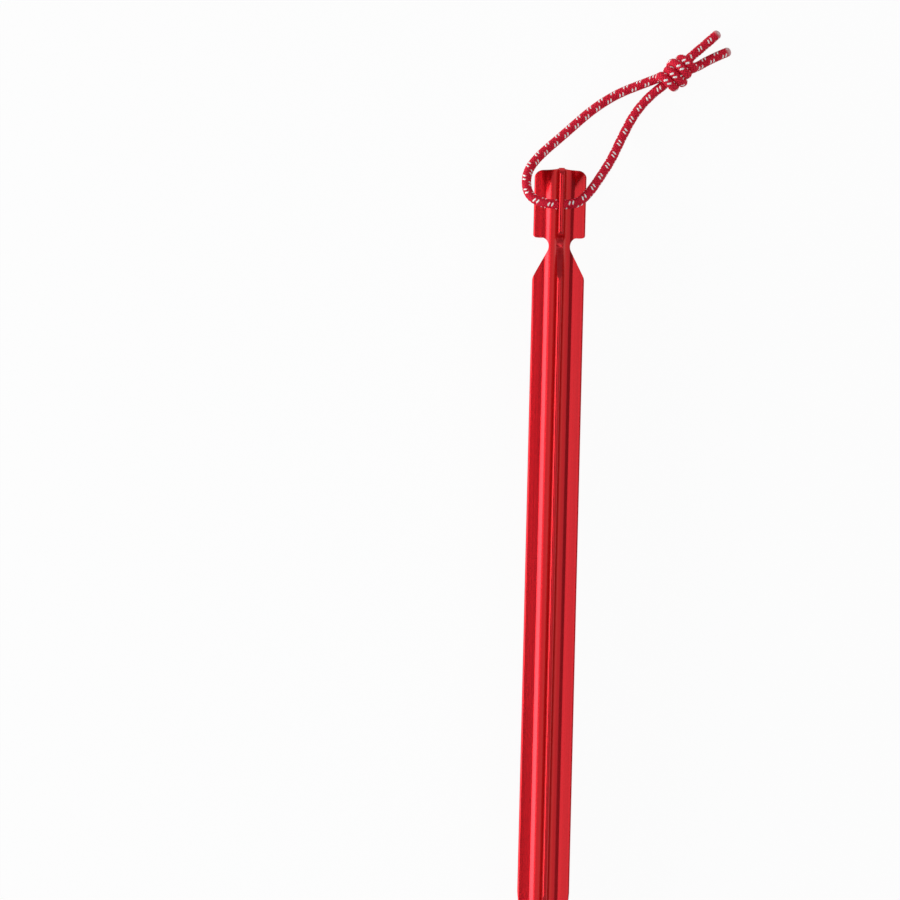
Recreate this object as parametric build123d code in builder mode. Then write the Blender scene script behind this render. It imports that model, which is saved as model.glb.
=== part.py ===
# Three-fin tent stake with its pull cord, lying on two fins with the third one up.
# Millimetres. Y runs along the stake with the head at +Y, Z is up, and the origin
# is on the ground under the middle of the stake's length.
import os
from math import cos, pi, radians, sin, tan

from build123d import *

os.makedirs("parts", exist_ok=True)

# ---- driving dimensions ----
stake_length = 190.5
fin_radius = 6.55  # stake axis to the outer edge of a fin
fin_count = 3
fin_edge_thickness = 1.15
fin_root_thickness = 1.5  # the fin's two faces carried in to the stake's axis
valley_radius = 5.2  # inside curve between two fins

head_length = 14.9
head_top_round = 2.3
head_bottom_round = 1.2
waist_radius = 2.4
notch_radius = 2.0
shoulder_slope = 32.0  # degrees from the stake's axis
shoulder_round = 4.0
taper_start = 159.0  # head's end to the corner where the point begins
taper_round = 23.0
point_radius = 0.45
point_round = 0.3
outline_clearance = 0.05  # the outline passes just outside the rounded fin edges

cord_diameter = 2.1
cord_hole_diameter = 3.3
cord_hole_depth = 8.0  # below the head's end
cord_hole_offset = 3.8  # out from the stake's axis
cord_hole_reach = 3.0  # half the length of the cut that makes the hole
knot_length = 9.6
knot_diameter = 7.0
knot_turn = 31.0  # degrees from +X towards +Y

# ---- values worked out from them ----
head_end = stake_length / 2
fin_edge_centre = fin_radius - fin_edge_thickness / 2
axis_height = fin_edge_centre * sin(radians(30)) + fin_edge_thickness / 2
hole_y = head_end - cord_hole_depth
hole_z = axis_height + cord_hole_offset
knot_centre = (25.0, 117.1, knot_diameter / 2)
knot_direction = (cos(radians(knot_turn)), sin(radians(knot_turn)), 0)

# ---- the cord's two strands, from the middle of its hole out to their cut ends ----
left_route = [
    (0.0, hole_y, hole_z),
    (-3.9, hole_y, hole_z),
    (-7.4, 89.3, 5.9),
    (-7.8, 94.0, 4.3),
    (-5.4, 97.9, 2.8),
    (1.0, 103.7, 1.5),
    (6.4, 108.8, 1.15),
    (12.1, 112.6, 1.2),
    (18.0, 114.9, 2.3),
    (23.4, 116.9, 4.1),
    (28.6, 118.2, 2.6),
    (32.6, 120.8, 1.5),
    (36.9, 122.7, 1.1),
]
right_route = [
    (0.0, hole_y, hole_z),
    (3.2, hole_y, hole_z),
    (5.9, 89.6, 6.7),
    (8.7, 93.9, 5.0),
    (11.1, 97.9, 3.2),
    (13.3, 102.9, 1.7),
    (15.9, 108.2, 1.2),
    (19.4, 112.4, 1.9),
    (23.6, 115.6, 2.9),
    (27.2, 120.2, 3.6),
    (30.8, 123.4, 1.8),
    (34.3, 126.7, 1.1),
]


def route_radii(side, route):
    """The largest arc that each corner of a route has room for."""
    points = [Vector(*point) for point in route]
    radii = []
    for before, corner, after in zip(points, points[1:], points[2:]):
        turn = (corner - before).get_angle(after - corner)
        shorter_run = min((corner - before).length, (after - corner).length)
        radii.append(0.45 * shorter_run / tan(radians(turn / 2)))
    print(side, "strand radii", [round(radius, 1) for radius in radii])
    return radii


# ---- the beam: a Y section along the whole stake, cut back to a turned outline ----
section_plane = Plane(origin=(0, head_end, axis_height), x_dir=(1, 0, 0), z_dir=(0, -1, 0))
outline_plane = Plane(origin=(0, head_end, axis_height), x_dir=(1, 0, 0), z_dir=(0, 0, 1))
hole_plane = Plane(origin=(0, hole_y, hole_z), x_dir=(0, 1, 0), z_dir=(1, 0, 0))

outline_radius = fin_radius + outline_clearance
slope = radians(shoulder_slope)
# where the shoulder's slope, carried inward, meets the line of the head's lower edge
notch_corner = (
    waist_radius
    + notch_radius * (1 - cos(slope))
    - notch_radius * (1 + sin(slope)) * tan(slope)
)
shoulder_start = head_length + (outline_radius - notch_corner) / tan(slope)

with BuildPart() as stake_beam:
    with BuildSketch(section_plane) as section:
        with PolarLocations(0, fin_count, start_angle=90):
            Polygon(
                (0, -fin_root_thickness / 2),
                (fin_edge_centre, -fin_edge_thickness / 2),
                (fin_edge_centre, fin_edge_thickness / 2),
                (0, fin_root_thickness / 2),
                align=None,
            )
        valleys = section.vertices().sort_by_distance((0, 0, 0))[:fin_count]
        fillet(valleys, radius=valley_radius)
        with PolarLocations(fin_edge_centre, fin_count, start_angle=90):
            Circle(fin_edge_thickness / 2)
    extrude(amount=stake_length)
    with BuildSketch(outline_plane):
        with BuildLine():
            outline = FilletPolyline(
                (0, 0),
                (outline_radius, 0),
                (outline_radius, -head_length),
                (notch_corner, -head_length),
                (outline_radius, -shoulder_start),
                (outline_radius, -taper_start),
                (point_radius, -stake_length),
                (0, -stake_length),
                radius=[
                    head_top_round,
                    head_bottom_round,
                    notch_radius,
                    shoulder_round,
                    taper_round,
                    point_round,
                ],
            )
            Line(outline @ 1, outline @ 0)
        make_face()
    revolve(axis=Axis((0, 0, axis_height), (0, 1, 0)), mode=Mode.INTERSECT)
    with BuildSketch(hole_plane):
        Circle(cord_hole_diameter / 2)
    extrude(amount=cord_hole_reach, both=True, mode=Mode.SUBTRACT)

stake_beam.part.label = "stake_beam"
export_step(stake_beam.part, "parts/stake_beam.step")
print("beam volume", round(stake_beam.part.volume, 1), "valid", stake_beam.part.is_valid)

# ---- the knot: the closed outer shape that both strands run through ----
knot_plane = Plane(origin=knot_centre, x_dir=knot_direction, z_dir=(0, 0, 1))

with BuildPart() as cord_knot:
    with BuildSketch(knot_plane):
        Ellipse(knot_length / 2, knot_diameter / 2)
        Rectangle(
            knot_length,
            knot_diameter / 2,
            align=(Align.CENTER, Align.MIN),
            mode=Mode.INTERSECT,
        )
    revolve(axis=Axis(knot_centre, knot_direction))

cord_knot.part.label = "cord_knot"
export_step(cord_knot.part, "parts/cord_knot.step")

# ---- each strand: a tube from the hole, parted by the knot into its loop and its tail ----
for side, route in (("left", left_route), ("right", right_route)):
    with BuildPart() as strand:
        with BuildLine() as strand_path:
            FilletPolyline(*route, radius=route_radii(side, route))
        with BuildSketch(strand_path.line ^ 0):
            Circle(cord_diameter / 2)
        sweep(path=strand_path.line)
        strand_length = strand_path.wire().length
        expected_volume = strand_length * pi * (cord_diameter / 2) ** 2
        volume_ratio = strand.part.volume / expected_volume
        add(cord_knot.part, mode=Mode.SUBTRACT)
    print(side, "strand length", round(strand_length, 1), "volume ratio", round(volume_ratio, 4))
    pieces = strand.part.solids().sort_by(Axis.X)
    for name, solid in zip(("cord_loop_" + side, "cord_tail_" + side), pieces):
        with BuildPart() as cord_piece:
            add(solid)
        cord_piece.part.label = name
        export_step(cord_piece.part, "parts/" + name + ".step")
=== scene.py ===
from math import ceil, cos, floor, pi, radians, sin, sqrt

import bmesh
import bpy
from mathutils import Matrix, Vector


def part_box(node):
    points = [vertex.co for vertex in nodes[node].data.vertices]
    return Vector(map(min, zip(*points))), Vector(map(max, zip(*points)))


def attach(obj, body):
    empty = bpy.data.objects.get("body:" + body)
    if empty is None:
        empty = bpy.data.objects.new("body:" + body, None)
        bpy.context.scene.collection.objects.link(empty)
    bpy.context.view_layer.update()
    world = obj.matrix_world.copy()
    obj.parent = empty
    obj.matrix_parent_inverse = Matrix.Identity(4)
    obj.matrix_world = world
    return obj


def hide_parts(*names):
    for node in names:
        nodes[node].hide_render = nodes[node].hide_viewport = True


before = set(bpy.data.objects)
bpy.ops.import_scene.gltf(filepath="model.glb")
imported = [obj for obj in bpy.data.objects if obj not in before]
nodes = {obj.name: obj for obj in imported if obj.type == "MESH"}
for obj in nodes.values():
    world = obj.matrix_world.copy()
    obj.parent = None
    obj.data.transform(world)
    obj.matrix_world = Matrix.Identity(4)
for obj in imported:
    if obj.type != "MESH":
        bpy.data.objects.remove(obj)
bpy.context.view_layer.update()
mm = 0.001
print("frame loaded:", ", ".join(sorted(nodes)))

knotLow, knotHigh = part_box("cord_knot")


# camera and studio

camera = {
    "aim": (-0.0230, 0.0329),  # where the lens points on the ground
    "height": 0.65,
    "viewWidth": 0.1994,  # what the frame spans on the ground
    "roll": 1.4,  # degrees that the stake's head leans to the right
}

studio = {
    "floorSize": 6.0,
    "floorColour": (0.90, 0.90, 0.90, 1),
    "floorShow": 0.94,  # share of plain white in what the camera sees of the floor
    "worldColour": (0.93, 0.94, 1.0, 1),
    "worldStrength": 0.27,
    "leftBox": {"place": (-0.70, 0.02, 0.145), "size": (1.3, 0.25), "power": 6.8},
    "topBox": {"place": (0.10, 0.10, 0.95), "size": (0.5, 0.9), "power": 1.9},
    "rightBox": {"place": (0.75, 0.05, 0.48), "size": (1.2, 0.36), "power": 1.8},
}


def makeCamera():
    data = bpy.data.cameras.new("camera")
    data.lens = data.sensor_width * camera["height"] / camera["viewWidth"]
    data.clip_start = 0.01
    obj = bpy.data.objects.new("camera", data)
    obj.location = (*camera["aim"], camera["height"])
    obj.rotation_euler = (0, 0, radians(camera["roll"]))
    bpy.context.collection.objects.link(obj)
    bpy.context.scene.camera = obj


def makeLamp(name, place, size, power):
    data = bpy.data.lights.new(name, "AREA")
    data.shape = "RECTANGLE"
    data.size, data.size_y = size
    data.energy = power
    obj = bpy.data.objects.new(name, data)
    obj.location = place
    obj.rotation_euler = (-Vector(place)).to_track_quat("-Z", "Y").to_euler()
    bpy.context.collection.objects.link(obj)


# shader maths: a socket with operators

class Wire:
    def __init__(self, tree, socket):
        self.tree = tree
        self.socket = socket

    # any node: its type, its settings, then the values or links of its sockets
    def put(self, kind, settings, sockets, output=0):
        node = self.tree.nodes.new(kind)
        for key, value in settings.items():
            setattr(node, key, value)
        for key, value in sockets.items():
            if isinstance(value, Wire):
                self.tree.links.new(value.socket, node.inputs[key])
            else:
                node.inputs[key].default_value = value
        return Wire(self.tree, node.outputs[output])

    def sum(self, operation, *others):
        values = dict(enumerate((self, *others)))
        return self.put("ShaderNodeMath", {"operation": operation}, values)

    def __add__(self, other):
        return self.sum("ADD", other)

    def __radd__(self, other):
        return self.sum("ADD", other)

    def __sub__(self, other):
        return self.sum("SUBTRACT", other)

    def __rsub__(self, other):
        return (self * -1) + other

    def __mul__(self, other):
        return self.sum("MULTIPLY", other)

    def __rmul__(self, other):
        return self.sum("MULTIPLY", other)

    def __truediv__(self, other):
        return self.sum("DIVIDE", other)

    def part(self):
        return self.sum("FRACT")

    def whole(self):
        return self.sum("FLOOR")

    def cycle(self, period):
        return self.sum("FLOORED_MODULO", period)

    def size(self):
        return self.sum("ABSOLUTE")

    def over(self, level):
        return self.sum("GREATER_THAN", level)

    def clamp(self, low, high):
        return self.sum("MAXIMUM", low).sum("MINIMUM", high)

    def wave(self):
        return (self * pi).sum("SINE")

    def xyz(self):
        split = self.put("ShaderNodeSeparateXYZ", {}, {0: self}).socket.node
        return [Wire(self.tree, socket) for socket in split.outputs]

    def stretch(self, factors):
        settings = {"operation": "MULTIPLY"}
        return self.put("ShaderNodeVectorMath", settings, {0: self, 1: factors})

    def noise(self, scale=1.0, detail=2.0):
        sockets = {"Vector": self, "Scale": scale, "Detail": detail}
        return self.put("ShaderNodeTexNoise", {}, sockets)

    def tint(self, colourA, colourB):
        settings = {"data_type": "RGBA"}
        return self.put("ShaderNodeMix", settings, {0: self, 6: colourA, 7: colourB}, output=2)


def newMaterial(name):
    material = bpy.data.materials.new(name)
    material.use_nodes = True
    tree = material.node_tree
    shader = tree.nodes["Principled BSDF"]
    coordinate = tree.nodes.new("ShaderNodeTexCoord")
    places = {key: Wire(tree, coordinate.outputs[key]) for key in ("Object", "UV", "Normal")}
    return material, shader, places


def feed(shader, name, value):
    if isinstance(value, Wire):
        value.tree.links.new(value.socket, shader.inputs[name])
    else:
        shader.inputs[name].default_value = value


# a relief whose height is in metres
def bump(height):
    return height.put("ShaderNodeBump", {}, {"Height": height, "Distance": 1.0, "Strength": 1.0})


# what stands round the object: a plain world, and a floor that looks white to the lens

def makeWorld():
    world = bpy.data.worlds.new("studio")
    world.use_nodes = True
    background = world.node_tree.nodes["Background"]
    background.inputs["Color"].default_value = studio["worldColour"]
    background.inputs["Strength"].default_value = studio["worldStrength"]
    bpy.context.scene.world = world


def makeFloor():
    bm = bmesh.new()
    bmesh.ops.create_grid(bm, x_segments=1, y_segments=1, size=studio["floorSize"] / 2)
    mesh = bpy.data.meshes.new("floor")
    bm.to_mesh(mesh)
    bm.free()
    floorObject = bpy.data.objects.new("floor", mesh)
    bpy.context.collection.objects.link(floorObject)
    material, shader = newMaterial("pale floor")[:2]
    tree = material.node_tree
    feed(shader, "Base Color", studio["floorColour"])
    feed(shader, "Roughness", 0.9)
    path = tree.nodes.new("ShaderNodeLightPath")
    seen = Wire(tree, path.outputs["Is Camera Ray"]) + Wire(tree, path.outputs["Is Glossy Ray"])
    seen = seen + Wire(tree, path.outputs["Is Transmission Ray"])
    white = seen.put("ShaderNodeEmission", {}, {"Color": (1, 1, 1, 1), "Strength": 1.0})
    share = seen.clamp(0.0, 1.0) * studio["floorShow"]
    lit = Wire(tree, shader.outputs[0])
    mixed = share.put("ShaderNodeMixShader", {}, {0: share, 1: lit, 2: white})
    tree.links.new(mixed.socket, tree.nodes["Material Output"].inputs["Surface"])
    mesh.materials.append(material)


# the anodised beam

anodising = {
    "red": (0.60, 0.010, 0.017, 1),
    "deepRed": (0.44, 0.006, 0.011, 1),
    "cutRed": (0.74, 0.045, 0.055, 1),
    "edgeTint": (0.80, 0.10, 0.12, 1),
    "metallic": 0.92,
    "coat": 0.26,
    "coatRoughness": 0.12,
    "coarseLines": (1600.0, 2.0, 1600.0),  # hardly any change along Y, as an extrusion has
    "fineLines": (5200.0, 9.0, 5200.0),
    "toolMarks": (500.0, 7000.0, 500.0),
    "grain": 9000.0,
    "coarseShare": 0.6,  # share of the coarse lines in the colour, the fine ones are the rest
    "toneFloor": 0.32,
    "toneContrast": 2.6,
    "cutTilt": 0.04,  # how far a face turns towards the ends before it counts as milled
    "cutSharpness": 12,
    "roughness": 0.11,  # plus what the lines and the grain add
    "lineRoughness": 0.16,
    "grainRoughness": 0.06,
    "cutRoughness": 0.32,
    "markRoughness": 0.20,
    "lineDepth": 0.0018 * mm,
    "fineDepth": 0.5,  # of the coarse lines' depth
    "cutDepth": 0.015 * mm,
    "grainDepth": 0.0006 * mm,
}


def anodisedMetal():
    material, shader, places = newMaterial("anodised red")
    point, normal = places["Object"], places["Normal"]
    coarseLines = point.stretch(anodising["coarseLines"]).noise(detail=3.0)
    fineLines = point.stretch(anodising["fineLines"]).noise()
    grain = point.noise(anodising["grain"])
    toolMarks = point.stretch(anodising["toolMarks"]).noise()

    # the milled notches, ends and point are the faces that turn towards the ends
    tilt = normal.xyz()[1].size()
    cut = ((tilt - anodising["cutTilt"]) * anodising["cutSharpness"]).clamp(0.0, 1.0)

    share = anodising["coarseShare"]
    tone = coarseLines * share + fineLines * (1 - share) - anodising["toneFloor"]
    tone = (tone * anodising["toneContrast"]).clamp(0.0, 1.0)
    body = tone.tint(anodising["deepRed"], anodising["red"])
    milled = toolMarks.tint(anodising["red"], anodising["cutRed"])
    feed(shader, "Base Color", cut.tint(body, milled))

    bodyRoughness = fineLines * anodising["lineRoughness"] + grain * anodising["grainRoughness"]
    bodyRoughness = bodyRoughness + anodising["roughness"]
    cutRoughness = toolMarks * anodising["markRoughness"] + anodising["cutRoughness"]
    feed(shader, "Roughness", cut * (cutRoughness - bodyRoughness) + bodyRoughness)

    lines = coarseLines + fineLines * anodising["fineDepth"]
    lines = lines * (1 - cut) * anodising["lineDepth"]
    marks = toolMarks * cut * anodising["cutDepth"]
    feed(shader, "Normal", bump(lines + marks + grain * anodising["grainDepth"]))

    feed(shader, "Metallic", anodising["metallic"])
    feed(shader, "Specular Tint", anodising["edgeTint"])
    feed(shader, "Coat Weight", anodising["coat"])
    feed(shader, "Coat Roughness", anodising["coatRoughness"])
    return material


# the braided cord

cord = {
    "radius": 1.05 * mm,
    "carriers": 8,  # strands that wind each way
    "cell": 0.3875,  # length of one crossing along the cord, in millimetres
    "relief": 0.13 * mm,
    "reliefInside": 0.35,  # share of the relief that the tube is drawn in by
    "crown": 0.6,  # below 1 the strands are flatter on top
    "ringStep": 0.085 * mm,
    "sides": 48,
    "endRound": 0.8,  # these two are in millimetres
    "sealLength": 1.3,
    "uvSpan": 10,  # millimetres of cord to one unit of its UV map
    "red": (0.70, 0.004, 0.028, 1),
    "brightRed": (0.94, 0.012, 0.050, 1),
    # painted shade: the dark red that the low parts between the strands are turned to
    "creviceShade": (0.20, 0.001, 0.011, 1),
    "fleck": (1.0, 0.96, 0.93, 1),
    "sealed": (0.70, 0.42, 0.42, 1),
    "fleckRows": 4,  # crossings round the cord from one row of flecks to the next
    "fleckRepeat": 16,  # crossings along it from one pair to the next
    "pairLength": 4.5,
    "fleckEdge": 0.08,  # red left along both sides of a white strand
    "yarns": (900.0, 260.0, 1.0),
    "yarnDepth": 0.03 * mm,
    "patches": 260.0,
    "mottle": 0.6,
    "mottleFloor": 0.1,
    "creviceShadeFade": 1.7,
    "sealFade": 1.6,
    "sealMost": 0.85,
    "roughness": 0.62,
    "fleckGloss": 0.20,
    "sealGloss": 0.25,
    "specular": 0.2,
}

# each strand from the middle of the cord hole through the knot to its cut end
leftRoute = [
    (0.0, 87.25, 7.3625),
    (-3.9, 87.25, 7.3625),
    (-7.4, 89.3, 5.9),
    (-7.8, 94.0, 4.3),
    (-5.4, 97.9, 2.8),
    (1.0, 103.7, 1.5),
    (6.4, 108.8, 1.15),
    (12.1, 112.6, 1.2),
    (18.0, 114.9, 2.3),
    (23.4, 116.9, 4.1),
    (28.6, 118.2, 2.6),
    (32.6, 120.8, 1.5),
    (36.9, 122.7, 1.15),
]
rightRoute = [
    (0.0, 87.25, 7.3625),
    (3.2, 87.25, 7.3625),
    (5.9, 89.6, 6.7),
    (8.7, 93.9, 5.0),
    (11.1, 97.9, 3.2),
    (13.3, 102.9, 1.7),
    (15.9, 108.2, 1.2),
    (19.4, 112.4, 1.9),
    (23.6, 115.6, 2.9),
    (27.2, 120.2, 3.6),
    (30.8, 123.4, 1.8),
    (34.3, 126.7, 1.15),
]


# points along one open NURBS spline whose control points are the route's
def splinePoints(name, route):
    curve = bpy.data.curves.new(name, "CURVE")
    curve.dimensions = "3D"
    curve.resolution_u = 24
    spline = curve.splines.new("NURBS")
    spline.points.add(len(route) - 1)
    for point, place in zip(spline.points, route):
        point.co = (*(Vector(place) * mm), 1)
    spline.order_u = 3
    spline.use_endpoint_u = True
    holder = bpy.data.objects.new(name, curve)
    bpy.context.collection.objects.link(holder)
    bpy.context.view_layer.update()
    mesh = bpy.data.meshes.new_from_object(holder)
    points = [vertex.co.copy() for vertex in mesh.vertices]
    bpy.data.objects.remove(holder)
    bpy.data.meshes.remove(mesh)
    return points


# the same line as evenly spaced points, with its length
def evenSteps(points, step):
    lengths = [0.0]
    for before, after in zip(points, points[1:]):
        lengths.append(lengths[-1] + (after - before).length)
    total = lengths[-1]
    count = ceil(total / step)
    even, index = [], 0
    for number in range(count + 1):
        target = total * number / count
        while index < len(points) - 2 and lengths[index + 1] < target:
            index += 1
        run = max(lengths[index + 1] - lengths[index], 1e-12)
        even.append(points[index].lerp(points[index + 1], (target - lengths[index]) / run))
    return even, total


# at each point, two directions square to the line that never twist about it
def crossSections(points):
    sections = []
    side = None
    for index, point in enumerate(points):
        ahead = points[min(index + 1, len(points) - 1)] - points[max(index - 1, 0)]
        ahead.normalize()
        if side is None:
            side = ahead.cross(Vector((0, 0, 1)))
        side = (side - ahead * side.dot(ahead)).normalized()
        sections.append((side.copy(), ahead.cross(side)))
    return sections


# each strand of the braid goes over two of the others and then under two
def braidHeight(along, around):
    down = along / cord["cell"] + around * cord["carriers"]
    up = along / cord["cell"] - around * cord["carriers"]
    step = (floor(down) + floor(up)) % 4
    across, lengthwise = (down, up) if step < 2 else (up, down)
    ridge = sin(pi * (across % 1)) ** cord["crown"]
    return ridge * (0.5 + 0.5 * sin(pi * (lengthwise % 1 + step % 2) / 2))


# a tube of real braid relief along a line, whose last end is rounded and sealed
# one of the knot's wraps is tucked: both of its ends are rounded and neither is sealed
def braidTube(name, points, tucked=False):
    even, total = evenSteps(points, cord["ringStep"])
    sections = crossSections(even)
    mesh = bpy.data.meshes.new(name)
    bm = bmesh.new()
    uvLayer = bm.loops.layers.uv.new("braid")
    sealLayer = bm.verts.layers.float.new("sealed")
    bmesh.ops.create_grid(bm, x_segments=len(even) - 1, y_segments=cord["sides"], size=0.5)
    lengthMm = total / mm
    for face in bm.faces:
        for loop in face.loops:
            place = loop.vert.co
            loop[uvLayer].uv = ((place.x + 0.5) * lengthMm / cord["uvSpan"], place.y + 0.5)
    for vertex in bm.verts:
        ring = round((vertex.co.x + 0.5) * (len(even) - 1))
        around = vertex.co.y + 0.5
        along = lengthMm * ring / (len(even) - 1)
        toEnd = min(along if tucked else lengthMm, lengthMm - along)
        sealed = max(0.0, 1 - toEnd / cord["sealLength"])
        radius = cord["radius"] - cord["relief"] * cord["reliefInside"]
        radius += cord["relief"] * (braidHeight(along, around) - 0.5) * (1 - sealed)
        cap = min(1.0, toEnd / cord["endRound"])
        radius *= sqrt(1 - (1 - cap) ** 2)
        side, other = sections[ring]
        turn = 2 * pi * around
        vertex.co = even[ring] + (side * cos(turn) + other * sin(turn)) * radius
        vertex[sealLayer] = 0.0 if tucked else sealed
    bmesh.ops.remove_doubles(bm, verts=bm.verts, dist=1e-6)
    bmesh.ops.holes_fill(bm, edges=bm.edges, sides=cord["sides"] + 4)
    bmesh.ops.recalc_face_normals(bm, faces=bm.faces)
    for face in bm.faces:
        face.smooth = True
    bm.to_mesh(mesh)
    bm.free()
    obj = bpy.data.objects.new(name, mesh)
    bpy.context.collection.objects.link(obj)
    print(name, "braided over", round(lengthMm, 1), "mm, faces", len(mesh.polygons))
    return obj, even, total


# the same crossings as braidHeight, so that the colours sit on the relief
def braidMaterial():
    material, shader, places = newMaterial("crimson braid")
    along, around = places["UV"].xyz()[:2]
    cells = along * (cord["uvSpan"] / cord["cell"])
    turns = around * cord["carriers"]
    down, up = cells + turns, cells - turns
    column = down.whole() + up.whole()
    step = column.cycle(4)
    overUp = step.over(1.5)
    half = step.cycle(2)
    across = overUp * (up.part() - down.part()) + down.part()
    lengthwise = (overUp * (down.part() - up.part()) + up.part() + half) / 2
    ridge = across.wave() * (0.45 + 0.55 * lengthwise.wave())

    # pairs of white flecks in rows round the cord, every other row half a pair on
    row = down.whole() - up.whole() + half
    offRow = row.cycle(cord["fleckRows"]).over(0.5)
    rowShift = row.cycle(cord["fleckRepeat"] / 2) * 2
    offPair = (column - half + rowShift).cycle(cord["fleckRepeat"]).over(cord["pairLength"])
    fleck = (1 - offRow) * (1 - offPair) * (1 - overUp)
    fleck = fleck * across.wave().over(cord["fleckEdge"])

    yarns = places["UV"].stretch(cord["yarns"]).noise(detail=3.0)
    patches = places["Object"].noise(cord["patches"])
    mottle = yarns * cord["mottle"] + patches * cord["mottle"] - cord["mottleFloor"]
    crimson = mottle.clamp(0.0, 1.0).tint(cord["red"], cord["brightRed"])
    # painted shade: where the strands dip under each other the colour darkens to a deep red, as
    # if shaded in the crevices
    shaded = (ridge * cord["creviceShadeFade"]).clamp(0.0, 1.0).tint(cord["creviceShade"], crimson)
    flecked = fleck.tint(shaded, cord["fleck"])
    attribute = {"attribute_name": "sealed"}
    sealed = ridge.put("ShaderNodeAttribute", attribute, {}, output=2)
    glaze = (sealed * cord["sealFade"]).clamp(0.0, cord["sealMost"])
    feed(shader, "Base Color", glaze.tint(flecked, cord["sealed"]))

    polish = fleck * cord["fleckGloss"] + glaze * cord["sealGloss"]
    feed(shader, "Roughness", cord["roughness"] - polish)
    feed(shader, "Specular IOR Level", cord["specular"])
    relief = (yarns + ridge) * cord["yarnDepth"]
    feed(shader, "Normal", bump(relief * (1 - glaze)))
    return material


# the knot

knot = {
    "turns": 1.5,
    "heading": radians(31),  # its long axis, from +X towards +Y
    "strandGap": 2.08,  # the sizes here are in millimetres
    "girth": 2.2,  # from its axis to the middle of a wrap, at its fattest
    "halfLength": 5.1,
    "lift": 0.25,  # added to the girth along the whole knot
    "tuck": 0.25,  # share of the girth at a wrap's very ends
    "tuckRate": 7,
    "waves": 9,
    "waveSize": 0.10,
    "steps": 26,
    "phase": radians(-2),
}


# one of the two strands that wind side by side round the knot, ends tucked in
def wrapRoute(strand):
    centre = (knotLow + knotHigh) / 2 / mm
    axis = Vector((cos(knot["heading"]), sin(knot["heading"]), 0))
    across = Vector((-sin(knot["heading"]), cos(knot["heading"]), 0))
    up = Vector((0, 0, 1))
    span = knot["turns"] * 2 * knot["strandGap"]
    start = -(span + knot["strandGap"]) / 2 + strand * knot["strandGap"]
    route = []
    for step in range(knot["steps"] + 1):
        share = step / knot["steps"]
        along = start + span * share
        swell = sqrt(max(0.0, 1 - (along / knot["halfLength"]) ** 2))
        tuck = min(1.0, knot["tuck"] + knot["tuckRate"] * min(share, 1 - share))
        girth = (knot["girth"] * swell + knot["lift"]) * tuck
        girth += knot["waveSize"] * sin(knot["waves"] * share + 2 * strand)
        angle = knot["phase"] + 2 * pi * knot["turns"] * share
        route.append(centre + axis * along + (across * cos(angle) + up * sin(angle)) * girth)
    return route


# making everything

makeCamera()
for lampName in ("leftBox", "topBox", "rightBox"):
    makeLamp(lampName, **studio[lampName])
makeWorld()
makeFloor()
print("studio ready")

metal = anodisedMetal()
beam = nodes["stake_beam"]
for slot in beam.material_slots:
    slot.material = metal
print("beam finished")

braid = braidMaterial()
for strand, wrapName in enumerate(("knotWrapNear", "knotWrapFar")):
    wrap = braidTube(wrapName, splinePoints(wrapName, wrapRoute(strand)), tucked=True)[0]
    wrap.data.materials.append(braid)
    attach(wrap, "pull_cord")
    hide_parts("cord_knot")
print("knot tied")

for cordName, route, side in (
    ("leftStrand", leftRoute, "left"),
    ("rightStrand", rightRoute, "right"),
):
    strandObject, line, length = braidTube(cordName, splinePoints(cordName, route))
    strandObject.data.materials.append(braid)
    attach(strandObject, "pull_cord")
    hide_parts("cord_loop_" + side, "cord_tail_" + side)
print("cord threaded")

bpy.context.scene.view_settings.view_transform = "Standard"
